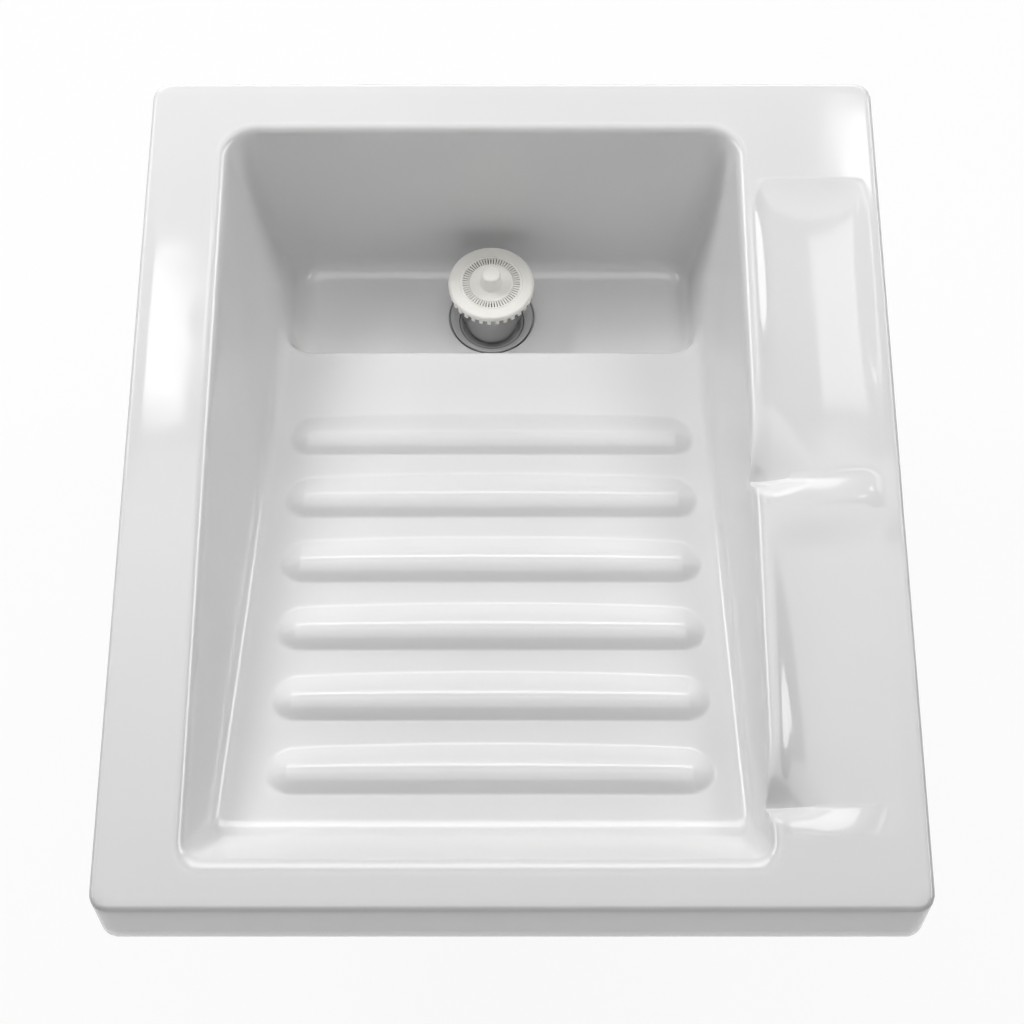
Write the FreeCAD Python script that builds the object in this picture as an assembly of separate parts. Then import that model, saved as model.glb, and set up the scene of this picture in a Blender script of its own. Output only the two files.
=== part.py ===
import FreeCAD, Part
import math
import os

V = FreeCAD.Vector
os.makedirs("parts", exist_ok=True)

# Deck and apron: the origin is the middle of the apron's lower edge, +Y is the far side.
deck_width = 500.0
deck_length = 600.0
apron_height = 52.0
shell = 6.0
deck_corner = 12.0
deck_edge = 4.0

# Basin: the width of the rim on each side of its opening, its depth and a draft for each wall.
left_rim = 53.0
right_rim = 94.5
near_rim = 29.5
far_rim = 41.0
basin_depth = 160.0
left_draft = 14.5
right_draft = 9.6
far_draft = 3.2
near_draft = 38.0
far_corner = 20.0
basin_cove = 13.0
opening_edge = 6.0

# Washboard ramp: it falls from the near wall to the edge of the well.
well_length = 104.0
ramp_far_depth = 122.0
ramp_slope = 11.0
well_draft = 10.0
ramp_edge = 6.0

# Washboard ridges, counted from the far one, and the flat left beyond their ends.
ridge_count = 6
ridge_far_flat = 77.3
ridge_near_flat = 80.2
ridge_left_flat = 43.0
ridge_right_flat = 29.5
ridge_half_width = 17.0
ridge_height = 9.0
ridge_sink = 0.3
ridge_root = 2.0

# Soap trays: deepest in the near left corner, where a notch drains them into the basin.
divider = 10.5
tray_near_rim = 62.0
tray_far_rim = 81.0
tray_bar_shift = 17.0
tray_bar_width = 19.0
tray_depth = 18.0
tray_rise_across = 12.0
tray_rise_along = 3.0
tray_corner = 18.0
tray_cove = 14.0
tray_edge = 3.0
notch_radius = 11.0
notch_high = 14.0
notch_low = 19.0

# Drain in the floor of the well: its distance from the far opening edge and from the basin's middle.
drain_setback = 52.5
drain_shift = 5.75
recess_radius = 31.2
flange_gap = 1.0
flange_thick = 2.2
flange_dish = 6.0
gasket_thick = 1.2
boss_radius = 43.0
boss_height = 5.0
hole_gap = 0.75
running_gap = 0.3
thread_gap = 0.15
thread_pitch = 2.5
thread_depth = 0.8
bore_radius = 24.0
body_wall = 2.5

# Strainer: cap, knob, cup, stem, grip ring and stopper, drawn in the raised place.
cap_radius = 31.0
cap_thick = 3.0
cap_dish = 0.8
cap_rest = 47.0
leg_height = 5.0
leg_width = 3.0
leg_thick = 3.0
leg_count = 32
slot_count = 60
slot_width = 0.9
slot_inner = 15.7
slot_outer = 20.9
cup_radius = 22.0
cup_wall = 1.0
cup_height = 57.0
cup_rim = 4.0
cup_hole = 2.0
cup_inner_ring = 9.5
cup_inner_holes = 8
cup_outer_ring = 15.5
cup_outer_holes = 14
knob_radius = 7.0
knob_height = 13.0
knob_socket = 9.0
stem_radius = 3.0
stem_gap = 0.1
stem_thread = 2.5
collar_radius = 6.0
collar_height = 6.0
grip_height = 5.0
grip_above_base = 4.0
stopper_radius = 22.5
stopper_taper = 3.5
stopper_thick = 5.0
washer_radius = 9.0
washer_thick = 1.2
nut_radius = 5.0
nut_thick = 4.0
stem_end = 1.5

# Clamp under the floor and outlet below the drain body.
clamp_radius = 37.0
floor_washer_thick = 3.0
slip_thick = 1.0
backnut_radius = 39.0
backnut_thick = 10.0
lug_count = 6
lug_width = 14.0
lug_reach = 5.0
outlet_radius = 18.0
outlet_wall = 5.9
outlet_length = 19.0
seat_wall = 3.0
outlet_gasket_thick = 2.0
pipe_radius = 19.0
pipe_wall = 1.6
pipe_length = 68.0
pipe_flange = 2.0
pipe_neck = 0.2
coupling_radius = 30.0
coupling_lip = 3.5
coupling_grip = 15.0

# Heights and places that follow from the sizes.
basin_left = -deck_width / 2 + left_rim
basin_right = deck_width / 2 - right_rim
basin_near = -deck_length / 2 + near_rim
basin_far = deck_length / 2 - far_rim
ramp_far_y = basin_far - well_length
ridge_first_y = ramp_far_y - ridge_far_flat
ridge_pitch = (ridge_first_y - basin_near - ridge_near_flat) / (ridge_count - 1)
ridge_left = basin_left + ridge_left_flat
ridge_right = basin_right - ridge_right_flat
tray_near_y = -deck_length / 2 + tray_near_rim
tray_far_y = deck_length / 2 - tray_far_rim
tray_bar_y = (tray_near_y + tray_far_y) / 2 - tray_bar_shift
drain_x = (basin_left + basin_right) / 2 + drain_shift
drain_y = basin_far - drain_setback
deck_z = apron_height
floor_z = deck_z - basin_depth
under_z = floor_z - shell - boss_height
flange_radius = recess_radius - flange_gap
tray_left = basin_right + divider
tray_right = deck_width / 2 - 2 * shell
body_radius = bore_radius + body_wall
cap_top = floor_z + cap_rest
cap_under = cap_top - cap_thick
knob_z = cap_top - cap_dish
cup_base = cap_under - cup_height
stopper_top = cup_base - collar_height
stopper_base = stopper_top - stopper_thick
washer_base = stopper_base - washer_thick
nut_base = washer_base - nut_thick
drop = cap_rest - cap_thick - leg_height - running_gap
seat_z = stopper_base - drop - running_gap
outlet_z = seat_z - outlet_length
pipe_z = outlet_z - outlet_gasket_thick
spigot_radius = outlet_radius + outlet_wall


def tan(degrees):
    return math.tan(math.radians(degrees))


def sin(degrees):
    return math.sin(math.radians(degrees))


def cos(degrees):
    return math.cos(math.radians(degrees))


def block(x0, x1, y0, y1, z0, z1):
    return Part.makeBox(x1 - x0, y1 - y0, z1 - z0, V(x0, y0, z0))


def rounded_block(x0, x1, y0, y1, z0, z1, radius):
    solid = block(x0, x1, y0, y1, z0, z1)
    upright = [e for e in solid.Edges if e.BoundBox.ZLength > (z1 - z0) / 2]
    return solid.makeFillet(radius, upright)


def edges_at(solid, z, x0, x1, y0, y1):
    # Edges that lie at one height inside a window of the plan.
    found = []
    for edge in solid.Edges:
        box = edge.BoundBox
        level = abs(box.ZMin - z) < 1e-4 and abs(box.ZMax - z) < 1e-4
        if level and box.XMin > x0 and box.XMax < x1 and box.YMin > y0 and box.YMax < y1:
            found.append(edge)
    return found


def turned(points):
    # A round solid from a half section of (radius, height) points on the drain's axis.
    outline = [V(drain_x + r, drain_y, z) for r, z in points]
    outline.append(outline[0])
    face = Part.Face(Part.makePolygon(outline))
    return face.revolve(V(drain_x, drain_y, 0), V(0, 0, 1), 360)


def dish(radius, below):
    # A point at some depth below the dished top of the drain body's flange.
    fall = flange_dish * (flange_radius - radius) / (flange_radius - bore_radius)
    return radius, floor_z - fall - below


def ring(outer, inner, z0, z1):
    return turned([(inner, z0), (outer, z0), (outer, z1), (inner, z1)])


def disc(radius, z0, z1):
    return Part.makeCylinder(radius, z1 - z0, V(drain_x, drain_y, z0))


def around(solid, count):
    # Copies of a solid turned evenly round the drain's axis.
    copies = []
    for i in range(count):
        copy = solid.copy()
        copy.rotate(V(drain_x, drain_y, 0), V(0, 0, 1), 360.0 * i / count)
        copies.append(copy)
    return copies


def hexagon(radius, z0, z1):
    corners = [V(drain_x + radius * cos(60 * i), drain_y + radius * sin(60 * i), z0) for i in range(7)]
    return Part.Face(Part.makePolygon(corners)).extrude(V(0, 0, z1 - z0))


def thread(outer, z_low, z_high):
    # Half section of a ringed thread, from its low end to its high end.
    count = int((z_high - z_low) / thread_pitch)
    points = []
    for i in range(count):
        z = z_low + i * thread_pitch
        points.append((outer, z))
        points.append((outer, z + thread_pitch * 0.3))
        points.append((outer - thread_depth, z + thread_pitch * 0.65))
    points.append((outer, z_low + count * thread_pitch))
    return points


def bowl(offset, top_z):
    # The basin's hollow, or its outside when it is offset by the shell.
    bottom_z = floor_z - offset

    def level(z):
        fall = deck_z - z
        x0 = basin_left + fall * tan(left_draft) - offset / cos(left_draft)
        x1 = basin_right - fall * tan(right_draft) + offset / cos(right_draft)
        y0 = basin_near + fall * tan(near_draft) - offset / cos(near_draft)
        y1 = basin_far - fall * tan(far_draft) + offset / cos(far_draft)
        return Part.makePolygon([V(x0, y0, z), V(x1, y0, z), V(x1, y1, z), V(x0, y1, z), V(x0, y0, z)])

    hollow = Part.makeLoft([level(top_z), level(bottom_z)], True, True)

    # The ramp and the near wall of the well, each moved by the offset, meet in one edge.
    ramp_y = ramp_far_y - offset * sin(ramp_slope)
    ramp_z = deck_z - ramp_far_depth - offset * cos(ramp_slope)
    well_y = ramp_far_y - offset * cos(well_draft)
    well_z = deck_z - ramp_far_depth - offset * sin(well_draft)
    run = well_y - ramp_y + (well_z - ramp_z) * tan(well_draft)
    run = run / (1 - tan(ramp_slope) * tan(well_draft))
    edge_y = ramp_y + run
    edge_z = ramp_z - run * tan(ramp_slope)
    near_y = -deck_length
    low_z = bottom_z - basin_depth
    section = [
        V(-deck_width, edge_y, edge_z),
        V(-deck_width, near_y, edge_z + (edge_y - near_y) * tan(ramp_slope)),
        V(-deck_width, near_y, low_z),
        V(-deck_width, edge_y + (edge_z - low_z) * tan(well_draft), low_z),
        V(-deck_width, edge_y, edge_z),
    ]
    hollow = hollow.cut(Part.Face(Part.makePolygon(section)).extrude(V(2 * deck_width, 0, 0)))

    def sorted_edges(solid):
        far, edge_of_ramp, other = [], [], []
        for edge in solid.Edges:
            box = edge.BoundBox
            if box.ZMin > top_z - 1e-4:
                continue
            if box.YMin > edge_y - 1e-3 and box.YMax < edge_y + 1e-3:
                edge_of_ramp.append(edge)
            elif box.YMin > edge_y and box.ZMax > top_z - 1e-4:
                far.append(edge)
            else:
                other.append(edge)
        return far, edge_of_ramp, other

    hollow = hollow.makeFillet(far_corner + offset, sorted_edges(hollow)[0])
    hollow = hollow.makeFillet(max(ramp_edge - offset, ramp_edge / 2), sorted_edges(hollow)[1])
    return hollow.makeFillet(basin_cove, sorted_edges(hollow)[2])


def tray(y0, y1, offset, top_z):
    # A soap tray's hollow with a tilted floor, or its outside when it is offset by the shell.
    low_z = deck_z - 4 * tray_depth
    high_z = deck_z + 4 * tray_depth
    x1 = tray_right + 1.1 * offset
    solid = rounded_block(tray_left - offset, x1, y0 - offset, y1 + offset, low_z, high_z, tray_corner + offset)

    def floor_point(x, y):
        across = tray_rise_across * (x - tray_left) / (tray_right - tray_left)
        along = tray_rise_along * (y - y0) / (y1 - y0)
        return V(x, y, deck_z - tray_depth - offset + across + along)

    left, right = tray_left - tray_corner, tray_right + tray_corner
    near, far = y0 - tray_corner, y1 + tray_corner
    corners = [(left, near), (right, near), (right, far), (left, far), (left, near)]
    below = Part.Face(Part.makePolygon([floor_point(x, y) for x, y in corners]))
    solid = solid.cut(below.extrude(V(0, 0, -8 * tray_depth)))
    bottom = min(solid.Faces, key=lambda face: face.CenterOfMass.z)
    solid = solid.makeFillet(tray_cove + offset, bottom.Edges)
    return solid.cut(block(left, right, near, far, top_z, 2 * high_z))


def notch(y0):
    # A round-bottomed groove from the low corner of a tray through the divider into the basin.
    y = y0 + notch_radius + tray_edge / 2
    x = tray_left + tray_cove + tray_edge
    z = deck_z - notch_high + notch_radius
    high_z = deck_z + notch_low
    low = V(x, y, z - notch_radius)
    left = V(x, y - notch_radius, z)
    right = V(x, y + notch_radius, z)
    left_top = V(x, y - notch_radius, high_z)
    right_top = V(x, y + notch_radius, high_z)
    outline = Part.Wire([
        Part.Arc(left, low, right).toShape(),
        Part.makeLine(right, right_top),
        Part.makeLine(right_top, left_top),
        Part.makeLine(left_top, left),
    ])
    way = V(basin_right - notch_low - x, 0, notch_high - notch_low)
    return Part.Face(outline).extrude(way)


def ridge(y):
    # A rounded bar with dome ends that lies across the ramp.
    half = ridge_half_width
    height = ridge_height + ridge_sink
    angle = 2 * math.degrees(math.atan(height / half))
    radius_sum = half / sin(angle)
    crest = 0.55 * radius_sum
    foot = radius_sum - crest
    base = -ridge_root

    def point(w, n):
        return V(0, w, n - ridge_sink)

    start = point(-half, 0)
    turn = point(-crest * sin(angle), height - crest + crest * cos(angle))
    top = point(0, height)
    foot_middle = point(-half + foot * sin(angle / 2), foot - foot * cos(angle / 2))
    crest_middle = point(-crest * sin(angle / 2), height - crest + crest * cos(angle / 2))
    wire = Part.Wire([
        Part.makeLine(point(0, base), point(-half, base)),
        Part.makeLine(point(-half, base), start),
        Part.Arc(start, foot_middle, turn).toShape(),
        Part.Arc(turn, crest_middle, top).toShape(),
        Part.makeLine(top, point(0, base)),
    ])
    near_half = Part.Face(wire)
    dome = near_half.revolve(V(0, 0, 0), V(0, 0, 1), 360)
    far_half = near_half.mirror(V(0, 0, 0), V(0, 1, 0))
    length = ridge_right - ridge_left - 2 * half
    bar = near_half.extrude(V(length, 0, 0)).fuse(far_half.extrude(V(length, 0, 0)))
    other_dome = dome.copy()
    other_dome.translate(V(length, 0, 0))
    solid = bar.fuse([dome, other_dome]).removeSplitter()
    solid.rotate(V(0, 0, 0), V(1, 0, 0), -ramp_slope)
    z = deck_z - ramp_far_depth + (ramp_far_y - y) * tan(ramp_slope)
    solid.translate(V(ridge_left + half, y, z))
    return solid


# Sink body: deck and apron, basin with washboard, soap trays and drain seat in one shell.
half_x = deck_width / 2
half_y = deck_length / 2
sink_body = rounded_block(-half_x, half_x, -half_y, half_y, 0, deck_z, deck_corner)
deck_rim = edges_at(sink_body, deck_z, -deck_width, deck_width, -deck_length, deck_length)
sink_body = sink_body.makeFillet(deck_edge, deck_rim)
inner_x = half_x - shell
inner_y = half_y - shell
inner_corner = max(deck_corner - shell, 1.0)
under_deck = rounded_block(-inner_x, inner_x, -inner_y, inner_y, -shell, deck_z - shell, inner_corner)
sink_body = sink_body.cut(under_deck)
back_z = deck_z - shell / 2
trays = ((tray_bar_y + tray_bar_width / 2, tray_far_y), (tray_near_y, tray_bar_y - tray_bar_width / 2))
backing = [bowl(shell, back_z), disc(boss_radius, under_z, floor_z - shell / 12)]
backing.append(block(
    basin_right - shell / 3, tray_left + tray_corner,
    tray_near_y, tray_far_y, deck_z - tray_depth - shell, back_z,
))
for near, far in trays:
    backing.append(tray(near, far, shell, back_z))
sink_body = sink_body.fuse(backing).removeSplitter()
sink_body = sink_body.cut(bowl(0, deck_z + apron_height))
opening = edges_at(
    sink_body, deck_z,
    basin_left - shell, basin_right + shell, basin_near - shell, basin_far + shell,
)
sink_body = sink_body.makeFillet(opening_edge, opening)
for near, far in trays:
    sink_body = sink_body.cut(tray(near, far, 0, deck_z + apron_height))
    rim = edges_at(sink_body, deck_z, tray_left - shell / 4, tray_right + shell, near - shell / 4, far + shell / 4)
    sink_body = sink_body.makeFillet(tray_edge, rim)
sink_body = sink_body.cut([notch(near) for near, far in trays])
ridges = [ridge(ridge_first_y - i * ridge_pitch) for i in range(ridge_count)]
sink_body = sink_body.fuse(ridges)
hole_radius = body_radius + hole_gap
seat_depth = flange_thick + gasket_thick
sink_body = sink_body.cut(turned([
    (0, under_z - shell),
    (hole_radius, under_z - shell),
    dish(hole_radius, seat_depth),
    dish(flange_radius, seat_depth),
    (recess_radius, floor_z - seat_depth),
    (recess_radius, floor_z + shell),
    (0, floor_z + shell),
]))

# Drain body: dished flange in the recess, threaded outside, ledge for the stopper and threaded spigot.
spigot_top = seat_z - seat_wall
drain_profile = [
    dish(bore_radius, 0),
    (bore_radius, seat_z),
    (outlet_radius, seat_z),
    (outlet_radius, outlet_z),
]
drain_profile += thread(spigot_radius, outlet_z, spigot_top)
drain_profile += [(spigot_radius, spigot_top)]
drain_profile += thread(body_radius, spigot_top, under_z)
drain_profile += [
    dish(body_radius, flange_thick),
    dish(flange_radius, flange_thick),
    dish(flange_radius, 0),
]
drain_body = turned(drain_profile)
flange_gasket = turned([
    dish(hole_radius, seat_depth),
    dish(flange_radius, seat_depth),
    dish(flange_radius, flange_thick),
    dish(hole_radius, flange_thick),
])

# Clamp under the floor: rubber washer, slip ring and lugged nut on the drain body.
clear_radius = body_radius + thread_gap
washer_z = under_z - floor_washer_thick
slip_z = washer_z - slip_thick
backnut_z = slip_z - backnut_thick
floor_washer = ring(clamp_radius, clear_radius, washer_z, under_z)
slip_ring = ring(clamp_radius, clear_radius, slip_z, washer_z)
lug = block(
    drain_x, drain_x + backnut_radius + lug_reach,
    drain_y - lug_width / 2, drain_y + lug_width / 2, backnut_z, slip_z,
)
drain_backnut = disc(backnut_radius, backnut_z, slip_z).fuse(around(lug, lug_count)).removeSplitter()
drain_backnut = drain_backnut.cut(disc(clear_radius, backnut_z - shell, slip_z + shell))

# Outlet: flat gasket, flanged tailpiece and the nut that draws it up to the spigot.
flange_low = pipe_z - pipe_flange
pipe_end = pipe_z - pipe_length
neck_low = flange_low - coupling_lip - pipe_flange / 2
coupling_bore = spigot_radius + thread_gap
outlet_gasket = ring(spigot_radius - running_gap, outlet_radius, pipe_z, outlet_z)
tailpiece = turned([
    (pipe_radius - pipe_wall, pipe_end),
    (pipe_radius, pipe_end),
    (pipe_radius, neck_low),
    (pipe_radius - pipe_neck, neck_low),
    (pipe_radius - pipe_neck, flange_low),
    (spigot_radius - running_gap, flange_low),
    (spigot_radius - running_gap, pipe_z),
    (pipe_radius - pipe_wall, pipe_z),
])
coupling_nut = hexagon(coupling_radius, flange_low - coupling_lip, outlet_z + coupling_grip)
coupling_nut = coupling_nut.cut([
    disc(coupling_bore, flange_low, outlet_z + coupling_grip + shell),
    disc(pipe_radius + running_gap, flange_low - coupling_lip - shell, flange_low + shell),
])

# Strainer cap: dished disc with radial slots and a skirt of short legs.
stem_hole = stem_radius + stem_gap
dish_rim = slot_inner - cap_dish
strainer_cap = turned([
    (stem_hole, cap_under),
    (cap_radius, cap_under),
    (cap_radius, cap_top - cap_thick / 3),
    (cap_radius - cap_thick / 3, cap_top),
    (dish_rim, cap_top),
    (dish_rim - cap_dish, knob_z),
    (stem_hole, knob_z),
])
leg_outer = cap_radius - running_gap
strainer_cap = strainer_cap.fuse(ring(leg_outer, leg_outer - leg_thick, cap_under - leg_height, cap_under))
leg_gap = 2 * math.pi * leg_outer / leg_count - leg_width
gap = block(
    drain_x + leg_outer - 2 * leg_thick, drain_x + leg_outer + leg_thick,
    drain_y - leg_gap / 2, drain_y + leg_gap / 2, cap_under - 2 * leg_height, cap_under,
)
slot = block(
    drain_x + slot_inner, drain_x + slot_outer,
    drain_y - slot_width / 2, drain_y + slot_width / 2, cap_under - cap_thick, cap_top + cap_thick,
)
strainer_cap = strainer_cap.cut(around(gap, leg_count) + around(slot, slot_count))

# Knob, screwed on the stem so that it clamps the cap on the cup.
knob_top = knob_z + knob_height
strainer_knob = turned([
    (stem_hole, knob_z),
    (1.15 * knob_radius, knob_z),
    (knob_radius, knob_z + 0.15 * knob_height),
    (0.93 * knob_radius, knob_z + 0.5 * knob_height),
    (knob_radius, knob_z + 0.8 * knob_height),
    (0.9 * knob_radius, knob_z + 0.94 * knob_height),
    (0.7 * knob_radius, knob_top),
    (0, knob_top),
    (0, knob_z + knob_socket),
    (stem_hole, knob_z + knob_socket),
])

# Basket cup: thin metal cup with a flat rim under the cap and a pierced base.
basket_cup = turned([
    (stem_hole, cup_base),
    (cup_radius, cup_base),
    (cup_radius, cap_under - cup_wall),
    (cup_radius + cup_rim, cap_under - cup_wall),
    (cup_radius + cup_rim, cap_under),
    (cup_radius - cup_wall, cap_under),
    (cup_radius - cup_wall, cup_base + cup_wall),
    (stem_hole, cup_base + cup_wall),
])
holes = []
for place, count in ((cup_inner_ring, cup_inner_holes), (cup_outer_ring, cup_outer_holes)):
    hole = Part.makeCylinder(cup_hole, 3 * cup_wall, V(drain_x + place, drain_y, cup_base - cup_wall))
    holes += around(hole, count)
basket_cup = basket_cup.cut(holes)

# Stem with its collar, the stopper on it, and the washer and nut that hold the stopper.
stem_low = nut_base - stem_end
strainer_stem = turned([
    (0, stem_low),
    (stem_thread, stem_low),
    (stem_thread, stopper_top),
    (collar_radius, stopper_top),
    (collar_radius, cup_base),
    (stem_radius, cup_base),
    (stem_radius, knob_z + knob_socket - stem_gap),
    (0, knob_z + knob_socket - stem_gap),
])
thread_hole = stem_thread + stem_gap
stopper_seal = turned([
    (thread_hole, stopper_base),
    (stopper_radius - stopper_taper, stopper_base),
    (stopper_radius, stopper_top),
    (thread_hole, stopper_top),
])
stem_washer = ring(washer_radius, thread_hole, washer_base, stopper_base)
stem_nut = hexagon(nut_radius, nut_base, washer_base).cut(disc(thread_hole, nut_base - shell, washer_base + shell))
grip_z = cup_base + grip_above_base
grip_ring = ring(bore_radius - running_gap, cup_radius, grip_z, grip_z + grip_height)

pieces = {
    "sink_body": sink_body,
    "drain_body": drain_body,
    "flange_gasket": flange_gasket,
    "floor_washer": floor_washer,
    "slip_ring": slip_ring,
    "drain_backnut": drain_backnut,
    "outlet_gasket": outlet_gasket,
    "tailpiece": tailpiece,
    "coupling_nut": coupling_nut,
    "strainer_cap": strainer_cap,
    "strainer_knob": strainer_knob,
    "basket_cup": basket_cup,
    "strainer_stem": strainer_stem,
    "stopper_seal": stopper_seal,
    "stem_washer": stem_washer,
    "stem_nut": stem_nut,
    "grip_ring": grip_ring,
}
for name, shape in pieces.items():
    if len(shape.Solids) != 1 or not shape.isValid():
        raise ValueError(name + " is not one sound solid")
    shape.Solids[0].exportStep("parts/" + name + ".step")
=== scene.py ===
import bpy
import math
import numpy as np
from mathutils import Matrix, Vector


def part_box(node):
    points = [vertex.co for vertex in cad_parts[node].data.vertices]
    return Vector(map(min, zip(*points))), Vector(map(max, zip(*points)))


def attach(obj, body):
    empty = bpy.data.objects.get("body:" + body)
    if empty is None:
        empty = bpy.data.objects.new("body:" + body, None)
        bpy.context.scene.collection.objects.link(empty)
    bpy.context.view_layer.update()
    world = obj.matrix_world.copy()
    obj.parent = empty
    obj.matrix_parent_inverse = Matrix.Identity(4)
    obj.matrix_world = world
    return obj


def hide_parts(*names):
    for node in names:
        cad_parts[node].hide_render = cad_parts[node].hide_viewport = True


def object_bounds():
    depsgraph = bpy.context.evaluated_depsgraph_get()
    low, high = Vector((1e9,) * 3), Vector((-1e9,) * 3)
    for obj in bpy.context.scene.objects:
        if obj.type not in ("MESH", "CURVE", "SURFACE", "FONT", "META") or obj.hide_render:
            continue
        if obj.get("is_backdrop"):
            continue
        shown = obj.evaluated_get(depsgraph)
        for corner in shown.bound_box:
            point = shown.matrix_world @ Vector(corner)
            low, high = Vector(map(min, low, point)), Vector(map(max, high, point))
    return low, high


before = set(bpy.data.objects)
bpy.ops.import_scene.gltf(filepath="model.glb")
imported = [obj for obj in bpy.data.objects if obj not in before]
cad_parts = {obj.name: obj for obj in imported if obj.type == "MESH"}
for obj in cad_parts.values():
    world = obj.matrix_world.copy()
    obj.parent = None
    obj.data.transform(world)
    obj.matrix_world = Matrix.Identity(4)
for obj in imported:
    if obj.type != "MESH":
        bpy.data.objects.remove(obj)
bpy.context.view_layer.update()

# Sink: one moulding of filled resin with a glossy white gel coat, drawn off a polished mould.
# Deck, apron, basin, washboard ramp and soap trays are one skin, so all edges are rounded and all
# walls lean; the underside is the bare laminate. Sizes are in millimetres and degrees.
deck_x, deck_y, deck_z = 250.0, 300.0, 52.0
deck_corner, deck_edge, skin = 12.0, 4.0, 6.0
basin_left, basin_right, basin_near, basin_far = -197.0, 155.5, -270.5, 259.0
left_lean, right_lean, near_lean, far_lean = 14.5, 9.6, 38.0, 3.2
basin_lip, basin_corner, near_corner = 6.5, 20.0, 10.0
well_y, well_z, well_corner, well_lean = 155.0, -70.0, 22.0, 10.0
ramp_slope, ramp_side, ramp_end = 11.0, 7.0, 6.0
floor_z, floor_round = -108.0, 13.0
drain_x, drain_y, recess_edge, recess_radius, hole_radius = -15.0, 206.5, 32.8, 31.2, 27.25
drain_axis = (drain_x / 1000, drain_y / 1000, 0)
ridge_centres = [77.7 - 53.6 * i for i in range(6)]
ridge_middle, ridge_half, ridge_end, ridge_height = -14.0, 140.0, 17.0, 9.0
crest_near, crest_bow, crest_round = 3.8, 1.2, 0.13
far_face, far_bow, near_face, near_bow = 18.5, 2.8, 14.6, 0.8
face_power, face_change, foot_round, foot_sink = 1.35, 0.2, 0.07, 0.02
tray_left, tray_right, tray_near, tray_far, tray_bar = 164.0, 241.0, -254.0, 219.0, -33.0


def graded(places, *runs):
    # Mould lines carried on from those given, in runs that each go to a place in steps of about one size.
    places = list(places)
    for end, step in runs:
        first = places[-1]
        count = max(1, round((end - first) / step))
        places += [first + (end - first) * (i + 1) / count for i in range(count)]
    return places


def rounded(radius, *sides):
    # Depth inside a hollow whose sides, given as distances, meet in rounded corners.
    nearest = sides[0]
    squares = 0.0
    for side in sides:
        nearest = np.minimum(nearest, side)
        squares = squares + np.maximum(radius - side, 0.0) ** 2
    return np.maximum(nearest, radius) - np.sqrt(squares)


def lean(run, fall, degrees):
    # Distance from a wall that leans by some degrees as it falls.
    return run * math.cos(math.radians(degrees)) - fall * math.sin(math.radians(degrees))


def ease(value, start, end):
    # Nought before the start, one after the end, and a smooth change between them.
    t = np.clip((value - start) / (end - start), 0, 1)
    return t * t * (3 - 2 * t)


def climb(y, top, foot):
    # Nought at the top of a far-facing wall and one at its crisp foot.
    return np.clip((y - top) / (foot - top), 0, 1) ** 1.3


def soft_least(a, b, width):
    # The lower of two surfaces, with the edge between them softened.
    near = np.maximum(width - np.abs(a - b), 0) / width
    return np.minimum(a, b) - near * near * width / 4


def ridge_bow(x):
    # One at the middle of the ridges and nought at their ends, for the bow of their lines.
    return np.clip(1 - ((x - ridge_middle) / ridge_half) ** 2, 0, 1)


def ridges(x, y):
    # Height of the washboard ridges: a long flat far face, a tight crest and a steep near face.
    bow = ridge_bow(x)
    end = np.maximum(np.abs(x - ridge_middle) - (ridge_half - ridge_end), 0) / ridge_end
    height = np.zeros_like(x)
    for centre in ridge_centres:
        offset = y - centre + crest_near - crest_bow * bow
        across = offset / np.where(offset > 0, far_face + far_bow * bow, near_face + near_bow * bow)
        reach = np.hypot(across, end)
        power = face_power - face_change * across / np.maximum(reach, 1e-6)
        tight = (np.hypot(reach, crest_round) - crest_round) / (math.hypot(1, crest_round) - crest_round)
        rest = 1 - tight ** power
        height = np.maximum(height, ridge_height * (rest + np.hypot(rest, foot_round)) / 2 - foot_sink)
    return np.maximum(height, 0)


def follow_ridges(x, y):
    # Mould lines that bow with the near foot, crest and far foot of each ridge, so that these stay crisp.
    fade = 20.0
    lines, pushes = [], []
    for centre in reversed(ridge_centres):
        crest = centre - crest_near
        lines += [crest - near_face, crest, crest + far_face]
        pushes += [crest_bow - near_bow, crest_bow, crest_bow + far_bow]
    lines = [lines[0] - fade] + lines + [lines[-1] + fade]
    return y + ridge_bow(x) * np.interp(y, lines, [0] + pushes + [0])


def basin(x, y, z, offset, ridge):
    # Depth inside the basin, or inside its outer face when it is offset by the skin.
    fall = deck_z - z
    left = lean(x - basin_left, fall, left_lean) + offset
    right = lean(basin_right - x, fall, right_lean) + offset
    far = lean(basin_far - y, fall, far_lean) + offset
    near = lean(y - basin_near, fall, near_lean) + offset
    slope = math.radians(ramp_slope)
    ramp = (z - well_z - (well_y - y) * math.tan(slope) - ridge) * math.cos(slope) + offset
    corner = np.clip(well_corner - np.minimum(left, right), 0, well_corner)
    bend = well_corner - np.sqrt(well_corner ** 2 - corner ** 2)
    front = lean(y - well_y - bend, well_z - z, well_lean) + offset
    step = -rounded(ramp_end if offset == 0 else ramp_end / 2, -ramp, -front)
    sides = rounded(basin_corner + offset, left, right, far)
    sides = rounded(near_corner + offset, sides, near)
    return rounded(floor_round, rounded(ramp_side, sides, step), z - floor_z + offset)


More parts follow.
